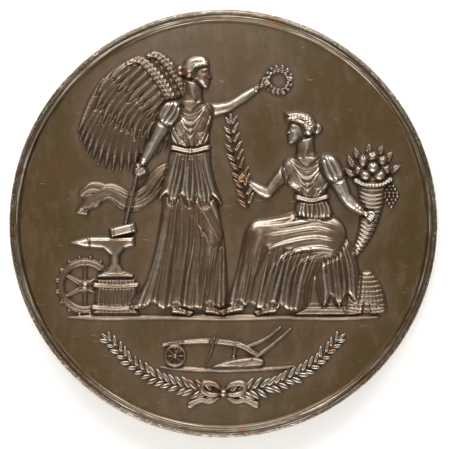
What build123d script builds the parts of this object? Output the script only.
from build123d import *
from collections import namedtuple
import math
import os

import numpy as np

# A round struck medal that lies on its back, face up, with its figures upright along +Y.
# One piece of bronze: a disc with a raised rim on both sides, and a raised scene on the front.
# Millimetres. The origin is on the medal's axis, in the plane that the back rim rests on.

# driving dimensions
medal_diameter = 64.0
rim_thickness = 4.8       # over the two rims
front_rim_height = 0.7    # rim above the front field
back_rim_height = 0.7     # rim above the back field
rim_width = 0.6           # rim, from the outer edge to the groove inside it
edge_round = 0.3          # rounding between the rim and the outer edge
groove_width = 0.25       # fine groove round the inside of the rim
groove_depth = 0.35       # below the rim
line_width = 0.4          # low raised line inside the groove
line_drop = 0.15          # how far the line lies below the rim
cove_width = 1.05         # hollow slope from the line down to the field
scene_margin = 1.5        # bare flat field round the scene
relief_height = 2.1       # highest point of the scene above the front field
lattice_step = 0.67       # spacing of the points that the scene's surface is made from

# worked out from them
medal_radius = medal_diameter / 2
groove_radius = medal_radius - rim_width
line_radius = groove_radius - groove_width
cove_radius = line_radius - line_width
field_radius = cove_radius - cove_width
scene_radius = field_radius - scene_margin
front_field_z = rim_thickness - front_rim_height

# The scene is drawn on a plan of its own. Its units are shares of the scene's radius,
# and its heights are shares of relief_height.
plan_radius = 94
unit = scene_radius / plan_radius
fall_per_unit = 0.35    # how steeply a form drops outside its outline
deep = -2.0             # height share where there is no form
blend = 0.05            # height share over which two forms melt together
flattest = 0.005        # no lattice point lies nearer to the field than this height share
nearest_cut = 0.08      # the field cuts no lattice edge nearer to its end than this share
scene_reach = 0.995     # no form goes past this share of the plan's radius

# the table columns
Bar = namedtuple("Bar", "name points half_width top foot")
Pad = namedtuple("Pad", "name outline top foot edge")
Mound = namedtuple("Mound", "name x y across along top foot turn")


def head_points(facing, x, y, turn, points):
    """Points of a head in profile, drawn facing right about its own middle, put in its place."""
    c = math.cos(math.radians(turn))
    s = math.sin(math.radians(turn))
    return [(x + facing * (px * c - py * s), y + px * s + py * c) for px, py in points]


# A plain head in profile: brow, straight nose, mouth, chin, jaw, nape and crown
FACE = [(4.0, 6.0), (5.2, 3.0), (5.3, 1.0), (6.7, -2.0), (5.7, -2.9), (6.0, -4.6), (5.4, -7.0),
        (3.8, -7.8), (-1.0, -4.6), (-5.0, -2.6), (-6.4, 1.5), (-5.0, 5.5), (0.0, 7.4)]
HAIR = [(4.8, 4.6), (2.2, 8.2), (-2.4, 8.5), (-6.6, 6.0), (-8.0, 1.6), (-6.2, -2.8), (-3.0, -2.8),
        (-0.6, 1.6), (3.4, 3.2)]
BUN = (-8.2, 0.8)


def head(name, facing, x, y, turn):
    bun_x, bun_y = head_points(facing, x, y, turn, [BUN])[0]
    return [
        Pad(name + " face", head_points(facing, x, y, turn, FACE), 0.74, 0.2, 3.4),
        Pad(name + " hair", head_points(facing, x, y, turn, HAIR), 0.86, 0.2, 2.8),
        Mound(name + " bun", bun_x, bun_y, 3.0, 2.6, 0.64, 0.2, 0),
    ]


def ring(name, x, y, radius, half_width, top, foot, count=16):
    """A round bar in the plane of the field."""
    turns = [2 * math.pi * i / count for i in range(count + 1)]
    points = [(x + radius * math.cos(a), y + radius * math.sin(a)) for a in turns]
    return Bar(name, points, (half_width,), (top,), foot)


def spokes(name, x, y, radius, count, half_width, top):
    turns = [2 * math.pi * (i + 0.5) / count for i in range(count)]
    return [
        Bar(name, [(x, y), (x + radius * math.cos(a), y + radius * math.sin(a))], (half_width,), (top,), 0.0)
        for a in turns
    ]


def leaf(name, x, y, length, turn, half_width, top):
    """A pointed leaf from its foot at x, y, turned in degrees from the right."""
    tip = (x + length * math.cos(math.radians(turn)), y + length * math.sin(math.radians(turn)))
    return Bar(name, [(x, y), tip], (half_width / 2, half_width, half_width / 2), (top,), 0.05)


def teeth(name, x, y, radius, length, count, half_width, top):
    turns = [2 * math.pi * (i + 0.5) / count for i in range(count)]
    return [
        Bar(name, [(x + r * math.cos(a), y + r * math.sin(a)) for r in (radius, radius + length)],
            (half_width,), (top,), 0.0)
        for a in turns
    ]


GROUND = [
    Pad("ground", [(-78, -46.5), (-60, -44.4), (0, -44.8), (60, -44.4), (78, -46.5), (60, -48.6),
                   (0, -48.6), (-60, -48.6)], 0.22, 0.0, 1.8),
]

CRAFT_TOOLS = [
    ring("cogwheel rim", -69, -31, 12, 2.0, 0.30, 0.0),
    Mound("cogwheel hub", -69, -31, 3.4, 3.4, 0.36, 0.0, 0),
    *spokes("cogwheel spoke", -69, -31, 12, 6, 1.4, 0.24),
    *teeth("cogwheel tooth", -69, -31, 12, 3.0, 16, 1.1, 0.28),
    Pad("anvil block", [(-64.5, -45), (-42.5, -45), (-43.5, -27), (-63.5, -27)], 0.46, 0.1, 2.2),
    Pad("anvil", [(-77, -9.5), (-66, -6.2), (-44, -6.2), (-44, -11.5), (-51.5, -15), (-51, -22),
                  (-45, -26.5), (-63, -26.5), (-57, -22), (-57, -15), (-70, -12.2)], 0.64, 0.12, 2.4),
    Bar("hammer handle", [(-41.2, 31), (-49.5, -3)], (1.3,), (0.62,), 0.1),
    Bar("hammer head", [(-54.6, -4.4), (-45.4, -2.1)], (2.7,), (0.78,), 0.3),
]

HARVEST = [
    Pad("beehive", [(61.2, -44.5), (61.2, -38), (63.2, -31), (67.2, -25), (71.2, -23), (75.2, -25),
                    (79.2, -31), (81.2, -38), (81.2, -44.5)], 0.58, 0.02, 8.0),
    Bar("horn", [(54, -13), (55.5, -18.5), (62, -18), (69, -9), (73.2, 4), (74.5, 20)],
        (1.4, 1.9, 3.0, 4.6, 6.2, 8.2), (0.5, 0.55, 0.6, 0.62, 0.62, 0.6), 0.0),
    Bar("horn lip", [(66, 21.5), (71, 19.6), (78, 19.6), (83.3, 22)], (1.6,), (0.74,), 0.2),
    leaf("fruit leaf", 66, 24, 7, 148, 1.9, 0.4),
    leaf("fruit leaf", 65.6, 28, 7, 118, 1.9, 0.4),
    leaf("fruit leaf", 68.4, 32.4, 6, 118, 1.9, 0.4),
    leaf("fruit leaf", 73.4, 34, 6, 96, 1.9, 0.4),
    leaf("fruit leaf", 78.2, 33.4, 6, 76, 1.9, 0.4),
    leaf("fruit leaf", 81.6, 30.6, 6, 62, 1.9, 0.4),
    leaf("fruit leaf", 83.6, 25.4, 6, 35, 1.9, 0.4),
    Mound("fruit", 68.2, 26.6, 3.2, 3.2, 0.54, 0.12, 0),
    Mound("fruit", 80.6, 27, 3.3, 3.3, 0.54, 0.12, 0),
    Mound("fruit", 74.2, 32.6, 3.6, 3.6, 0.52, 0.12, 0),
    Mound("fruit", 71, 24, 3.4, 3.4, 0.68, 0.12, 0),
    Mound("fruit", 77.8, 24, 3.5, 3.5, 0.70, 0.12, 0),
    Mound("fruit", 74.6, 28, 3.4, 3.4, 0.74, 0.12, 0),
    Mound("grapes", 84, 13.5, 3.6, 6, 0.42, 0.0, 0),
]

SEAT = [
    Pad("seat block", [(38, -45), (64, -45), (64, -15), (38, -15)], 0.36, 0.1, 1.8),
    Pad("seat top", [(35, -17), (67, -17), (67, -12), (35, -12)], 0.46, 0.1, 1.4),
    Pad("seat foot", [(36, -45.5), (66, -45.5), (66, -41), (36, -41)], 0.44, 0.1, 1.4),
]

WINGED_FIGURE = [
    Pad("far wing", [(-15, 57), (-19, 68), (-26, 78), (-33, 86), (-41, 84), (-36, 72), (-27, 62)],
        0.36, 0.12, 3),
    Pad("near wing", [(-22, 53), (-27, 65), (-33, 75), (-41, 83), (-48, 81), (-61, 69), (-72, 50),
                      (-69, 36), (-61, 28.5), (-51, 26.5), (-41, 29.5), (-30, 38)], 0.44, 0.16, 4),
    Bar("wing edge", [(-23, 54), (-27, 64), (-33, 73.5), (-41, 81.5), (-47, 80)],
        (3.4, 3.0, 2.7, 2.4, 1.6), (0.6,), 0.34),
    Bar("flying cloth", [(-20, 26), (-38, 15), (-47, 11), (-56, 16), (-64, 13), (-70, 6)],
        (5.5, 5.2, 5.0, 4.8, 4.4, 2.4), (0.4, 0.38, 0.36, 0.36, 0.32, 0.3), 0.04),
    Bar("raised arm", [(-9, 56), (6, 60), (20.5, 69.8)], (3.7, 2.8, 1.7), (0.64, 0.6, 0.52), 0.1),
    Mound("raised hand", 21, 70.2, 2.4, 1.9, 0.56, 0.1, 32),
    Pad("gown", [(-24, 37), (-28, 24), (-31, 6), (-34, -12), (-38.5, -28), (-45, -40.6), (-33, -41),
                 (-22, -42), (-9, -42), (1, -40), (2, -26), (1, -12), (-1, 0), (-4, 12), (-6, 24),
                 (-9, 37)], 0.52, 0.08, 4),
    Bar("standing leg", [(-20, 20), (-21, -10), (-23, -40)], (7, 5, 3.6), (0.68, 0.64, 0.52), 0.36),
    Bar("bent thigh", [(-13, 20), (-6, -6)], (7.6, 5.6), (0.68, 0.84), 0.36),
    Bar("bent shin", [(-6, -6), (-8, -22), (-11, -40)], (5.4, 4.2, 3), (0.84, 0.68, 0.52), 0.36),
    Bar("right foot", [(-8, -42), (-4, -44.6), (0.5, -45.2)], (2.0, 1.7, 1.3), (0.5,), 0.05),
    Bar("left foot", [(-24, -42.5), (-21, -44.8), (-16.5, -45.2)], (2.0, 1.7, 1.3), (0.5,), 0.05),
    Pad("overfold", [(-24.5, 38), (-28, 26), (-31.5, 12.6), (-24, 12), (-17, 10), (-9.5, 10.4),
                     (-1, 10.6), (-4.5, 20), (-6.5, 29), (-8.5, 38)], 0.8, 0.3, 4.5),
    Bar("neck", [(-15.5, 57), (-15, 64), (-14.6, 71)], (6.0, 4.3, 4.1), (0.64,), 0.1),
    Pad("bodice", [(-27, 56), (-25.5, 60), (-19, 62), (-12, 61.5), (-6.5, 59), (-5.5, 54), (-8, 37.5),
                   (-25, 37.5), (-28, 51)], 0.8, 0.2, 6),
    Mound("breast", -11.8, 49.5, 4.9, 4.7, 0.9, 0.5, 0),
    Mound("breast", -21, 49.2, 4.9, 4.7, 0.92, 0.5, 0),
    Bar("belt", [(-25.2, 38), (-16.5, 36.2), (-7.8, 38)], (1.5,), (0.9,), 0.3),
    *head("winged figure", 1, -12.4, 75.2, -4),
    Bar("lowered arm", [(-26, 56.5), (-34, 41), (-41, 28.4)], (4.3, 3.1, 1.9), (0.88, 0.84, 0.78), 0.2),
    Mound("lowered hand", -41.6, 27, 2.3, 2.8, 0.8, 0.25, 20),
    Pad("sleeve", [(-29, 60.4), (-22.5, 61), (-21, 54), (-26, 48.6), (-31.6, 50.2), (-32.2, 55)],
        0.96, 0.4, 3),
]

SEATED_FIGURE = [
    Bar("branch", [(12.5, 8), (9.5, 22), (5.5, 36), (4, 50)], (2.2, 2.8, 2.6, 1.6), (0.34,), 0.05),
    Bar("far arm", [(34, 29), (21.5, 15), (11.4, 21.8)], (4.1, 2.9, 1.8), (0.68, 0.64, 0.58), 0.15),
    Mound("far hand", 10.2, 22.6, 2.6, 2.1, 0.6, 0.15, -35),
    Pad("mantle", [(50, -6), (60, -6), (65.4, -14), (68, -26), (66.4, -38), (58, -40), (50, -40.6),
                   (47, -30), (45, -14)], 0.58, 0.1, 3),
    Pad("skirt", [(37, 7), (29, 4.5), (18, 2), (11, -3), (8.5, -14), (5.5, -28), (1.8, -39.4), (13, -41.5),
                  (27, -42), (41, -41.5), (43.5, -30), (49, -20), (57, -16), (59, -7), (53, 7)],
        0.54, 0.08, 4),
    Bar("far leg", [(29, -4), (28, -20), (25, -40)], (6.4, 4.8, 3.2), (0.7, 0.64, 0.52), 0.34),
    Bar("near thigh", [(51, -6), (36, -5), (19, -5)], (10, 9, 7.2), (0.88, 0.92, 0.94), 0.34),
    Bar("near shin", [(18, -6), (13.5, -22), (8.5, -39)], (6.8, 5.0, 3.4), (0.94, 0.76, 0.56), 0.34),
    Bar("near foot", [(8.5, -41), (4, -43.6), (-1, -44.6)], (2.3, 1.9, 1.3), (0.54,), 0.05),
    Bar("far foot", [(25, -41.5), (20.5, -44), (16.2, -44.8)], (2.3, 1.9, 1.3), (0.54,), 0.05),
    Bar("neck", [(42, 28), (41.2, 35), (40.4, 42)], (6.0, 4.4, 4.2), (0.66,), 0.1),
    Pad("bodice", [(29.5, 30), (32, 33.6), (38, 35), (45, 35), (51.5, 33.6), (54.5, 29), (53.5, 22),
                   (51, 14), (54.5, 4), (46, 1.5), (36, 4.5), (37, 14), (33, 20), (29.5, 25)],
        0.84, 0.2, 6),
    Mound("breast", 37, 22, 4.9, 4.7, 0.92, 0.5, 0),
    Mound("breast", 46.4, 21.8, 4.9, 4.7, 0.94, 0.5, 0),
    Bar("belt", [(36.8, 13.2), (44, 11.6), (51.4, 13.4)], (1.4,), (0.92,), 0.3),
    *head("seated figure", -1, 38, 47, 2),
    Bar("near arm", [(53, 29), (60.5, 13.8), (70.6, 5)], (4.5, 3.2, 1.9), (0.94, 0.94, 0.86), 0.25),
    Mound("near hand", 72.4, 4, 2.8, 2.3, 0.88, 0.35, -32),
    Pad("sleeve", [(49, 34), (55.4, 33), (59.2, 27), (59.2, 22), (53, 21), (49.3, 26)], 1.0, 0.5, 3),
    ring("wreath", 27.5, 71.5, 5.4, 1.7, 0.5, 0.05),
]

EXERGUE = [
    Bar("plough beam", [(-30, -60.5), (-10, -58.5), (8, -60.5), (17, -66)],
        (1.3, 1.5, 1.7, 1.7), (0.36,), 0.0),
    Bar("plough handle", [(17, -66), (25, -60), (33, -52.5)], (1.5, 1.4, 1.3), (0.34,), 0.0),
    Bar("plough stilt", [(6, -60.5), (5, -68)], (1.4,), (0.34,), 0.0),
    Pad("plough share", [(-6, -71.5), (4, -67.5), (12, -66), (20, -67.5), (19, -71), (8, -71.8)],
        0.4, 0.0, 2.2),
    Bar("coulter", [(-5, -58), (-8, -70)], (1.2,), (0.32,), 0.0),
    ring("plough wheel", -24, -66, 4.8, 1.3, 0.3, 0.0, 12),
    Mound("wheel hub", -24, -66, 1.8, 1.8, 0.36, 0.0, 0),
    *spokes("wheel spoke", -24, -66, 4.8, 4, 0.9, 0.24),
    Bar("left spray", [(-3, -84.5), (-24, -80.5), (-43, -71.5), (-57, -58.5)],
        (2.6, 3.2, 2.8, 1.4), (0.34,), 0.0),
    Bar("right spray", [(3, -84.5), (24, -80.5), (43, -71.5), (57, -58.5)],
        (2.6, 3.2, 2.8, 1.4), (0.34,), 0.0),
    Bar("ribbon tail", [(0, -85), (-6, -88.2), (-11, -88), (-16, -89.8)],
        (1.4, 1.6, 1.6, 1.9), (0.34,), 0.0),
    Bar("ribbon tail", [(0, -85), (6, -88.2), (11, -88), (16, -89.8)],
        (1.4, 1.6, 1.6, 1.9), (0.34,), 0.0),
    Mound("bow loop", -6.4, -82.2, 4.8, 3.2, 0.46, 0.0, 10),
    Mound("bow loop", 6.4, -82.2, 4.8, 3.2, 0.46, 0.0, -10),
    Mound("knot", 0, -84.3, 2.2, 2.3, 0.54, 0.1, 0),
]

SCENE = GROUND + CRAFT_TOOLS + HARVEST + SEAT + WINGED_FIGURE + SEATED_FIGURE + EXERGUE


def spread(values, along):
    """Values given at even shares of a path's length, read at any share of it."""
    return np.interp(along, np.linspace(0, 1, len(values)), values) if len(values) > 1 else values[0]


def rounded(foot, top, outward, depth):
    """A round back from top, at outward 0, to foot at outward 1, and a steep drop beyond it."""
    dome = foot + (top - foot) * np.sqrt(np.maximum(1 - outward ** 2, 0))
    return np.where(outward > 1, foot + depth * fall_per_unit, dome)


def to_edge(start, end, x, y):
    """Distance from the points x, y to a straight edge, and the share of the edge they lie beside."""
    step = end - start
    share = np.clip(((x - start[0]) * step[0] + (y - start[1]) * step[1]) / (step @ step), 0, 1)
    return np.hypot(x - start[0] - share * step[0], y - start[1] - share * step[1]), share


def bar_height(bar, x, y):
    path = np.array(bar.points, float)
    lengths = np.hypot(*np.diff(path, axis=0).T)
    run = np.concatenate([[0.0], np.cumsum(lengths)]) / lengths.sum()
    nearest = np.full(x.shape, np.inf)
    along = np.zeros(x.shape)
    for i in range(len(lengths)):
        distance, share = to_edge(path[i], path[i + 1], x, y)
        closer = distance < nearest
        nearest[closer] = distance[closer]
        along[closer] = (run[i] + share * (run[i + 1] - run[i]))[closer]
    half = spread(bar.half_width, along)
    return rounded(bar.foot, spread(bar.top, along), nearest / half, half - nearest)


def mound_height(mound, x, y):
    c = math.cos(math.radians(mound.turn))
    s = math.sin(math.radians(mound.turn))
    u = ((x - mound.x) * c + (y - mound.y) * s) / mound.across
    v = ((y - mound.y) * c - (x - mound.x) * s) / mound.along
    outward = np.hypot(u, v)
    return rounded(mound.foot, mound.top, outward, (1 - outward) * min(mound.across, mound.along))


def pad_height(pad, x, y):
    corners = np.array(pad.outline, float)
    nearest = np.full(x.shape, np.inf)
    inside = np.zeros(x.shape, bool)
    for start, end in zip(corners, np.roll(corners, -1, axis=0)):
        nearest = np.minimum(nearest, to_edge(start, end, x, y)[0])
        if start[1] != end[1]:
            crossing = start[0] + (end[0] - start[0]) * (y - start[1]) / (end[1] - start[1])
            inside ^= ((start[1] > y) != (end[1] > y)) & (x < crossing)
    depth = np.where(inside, nearest, -nearest)
    return rounded(pad.foot, pad.top, np.where(inside, 1 - np.clip(depth / pad.edge, 0, 1), 2), depth)


height_of = {Bar: bar_height, Mound: mound_height, Pad: pad_height}


def scene_shares(x, y):
    """Height shares of the whole scene at plan points x, y: the highest form wins, with a soft join."""
    share = np.full(x.shape, deep)
    for form in SCENE:
        height = height_of[type(form)](form, x, y)
        meet = np.maximum(blend - np.abs(height - share), 0)
        share = np.maximum(height, share) + meet ** 2 / (4 * blend)
    share[np.hypot(x, y) > plan_radius * scene_reach] = deep
    share[np.abs(share) < flattest] = flattest
    return share


class Lattice:
    """The scene's heights above the field on a square lattice, in millimetres."""

    def __init__(self):
        self.count = math.ceil(2 * scene_radius / lattice_step)
        axis = np.linspace(-scene_radius, scene_radius, self.count + 1)
        x, y = np.meshgrid(axis, axis)
        self.x = x.ravel()
        self.y = y.ravel()
        self.height = scene_shares(self.x / unit, self.y / unit) * relief_height

    def triangles(self):
        """Corner numbers of the two triangles in each square."""
        across = self.count + 1
        for row in range(self.count):
            for column in range(self.count):
                a = row * across + column
                yield a, a + 1, a + across + 1
                yield a, a + across + 1, a + across

    def point(self, i):
        return self.x[i], self.y[i], self.height[i]

    def cut(self, i, j):
        """Where the edge between two points passes through the field."""
        i, j = min(i, j), max(i, j)
        share = self.height[i] / (self.height[i] - self.height[j])
        share = min(max(share, nearest_cut), 1 - nearest_cut)
        x = self.x[i] + (self.x[j] - self.x[i]) * share
        y = self.y[i] + (self.y[j] - self.y[i]) * share
        return x, y, 0.0


def scene_surface():
    """Triangles of the scene above the field, and the edges where it meets the field.

    The scene lies on the left of those edges.
    """
    lattice = Lattice()
    triangles, shore = [], {}
    for corners in lattice.triangles():
        polygon, leaving, entering = [], None, None
        for here, there in zip(corners, corners[1:] + corners[:1]):
            up_here, up_there = lattice.height[here] > 0, lattice.height[there] > 0
            if up_here:
                polygon.append(lattice.point(here))
            if up_here != up_there:
                polygon.append(lattice.cut(here, there))
                leaving = polygon[-1] if up_here else leaving
                entering = polygon[-1] if up_there else entering
        triangles += [(polygon[0], p, q) for p, q in zip(polygon[1:-1], polygon[2:])]
        if leaving:
            shore[leaving] = entering
    return triangles, shore


def closed_loops(shore):
    """Loops of points from the edges where the scene meets the field."""
    loops = []
    left = dict(shore)
    while left:
        start, point = left.popitem()
        loop = [start]
        while point != start:
            loop.append(point)
            point = left.pop(point)
        loops.append(loop)
    return loops


def signed_area(loop):
    return sum(p[0] * q[1] - q[0] * p[1] for p, q in zip(loop, loop[1:] + loop[:1])) / 2


def holds(loop, point):
    """Whether a loop goes round a point."""
    inside = False
    for p, q in zip(loop, loop[1:] + loop[:1]):
        if (p[1] > point[1]) != (q[1] > point[1]):
            inside ^= point[0] < (q[0] - p[0]) * (point[1] - p[1]) / (q[1] - p[1]) + p[0]
    return inside


def on_field(points):
    """A closed wire through points given above the front field."""
    return Wire.make_polygon([Vector(x, y, z + front_field_z) for x, y, z in points], close=True)


def field_faces(field_edge, shore):
    """The flat field round the scene, and what shows of it in the scene's own gaps."""
    loops = sorted(closed_loops(shore), key=lambda loop: abs(signed_area(loop)))
    islands = [loop for loop in loops if signed_area(loop) > 0]
    gaps = [loop for loop in loops if signed_area(loop) < 0]
    holes_of_field = []
    holes_of_gap = [[] for gap in gaps]
    for island in islands:
        around = [holes for gap, holes in zip(gaps, holes_of_gap) if holds(gap, island[0])]
        (around[0] if around else holes_of_field).append(on_field(island))
    faces = [Face(field_edge, holes_of_field)]
    faces += [Face(on_field(gap), holes) for gap, holes in zip(gaps, holes_of_gap)]
    return faces


def side_profile(rim_z, field_z, inward):
    """One side of the disc's section, from its axis to its edge.

    inward is 1 at the back and -1 at the front.
    """
    line_z = rim_z + inward * line_drop
    groove_z = rim_z + inward * groove_depth
    Line((0, field_z), (field_radius, field_z))
    TangentArc((field_radius, field_z), (cove_radius, line_z), tangent=(1, 0))
    Polyline((cove_radius, line_z), (line_radius, line_z), (line_radius, groove_z),
             (groove_radius, groove_z), (groove_radius, rim_z), (medal_radius, rim_z))


def disc():
    """The medal without its scene: a turned disc with a rim, groove, line and cove on both sides."""
    with BuildPart() as turned:
        with BuildSketch(Plane.XZ):
            with BuildLine():
                side_profile(0, back_rim_height, 1)
                side_profile(rim_thickness, front_field_z, -1)
                Line((0, back_rim_height), (0, front_field_z))
                Line((medal_radius, 0), (medal_radius, rim_thickness))
            make_face()
        revolve(axis=Axis.Z)
        rings = turned.edges().filter_by(GeomType.CIRCLE)
        fillet(rings.filter_by(lambda e: abs(e.radius - medal_radius) < 0.001), edge_round)
    return turned.part


def medal():
    blank = disc()
    flats = blank.faces().filter_by(GeomType.PLANE)
    at_front = flats.filter_by(lambda f: abs(f.center().Z - front_field_z) < 0.001)
    field = at_front.sort_by(SortBy.AREA)[-1]
    triangles, shore = scene_surface()
    faces = [f for f in blank.faces() if not f.is_same(field)]
    faces += field_faces(field.outer_wire(), shore)
    faces += [Face(on_field(triangle)) for triangle in triangles]
    print("scene:", len(triangles), "triangles")
    return Solid(Shell(faces))


os.makedirs("parts", exist_ok=True)
made = medal()
print("medal: volume", round(made.volume), "mm3, valid", made.is_valid)
export_step(made, "parts/medal.step")
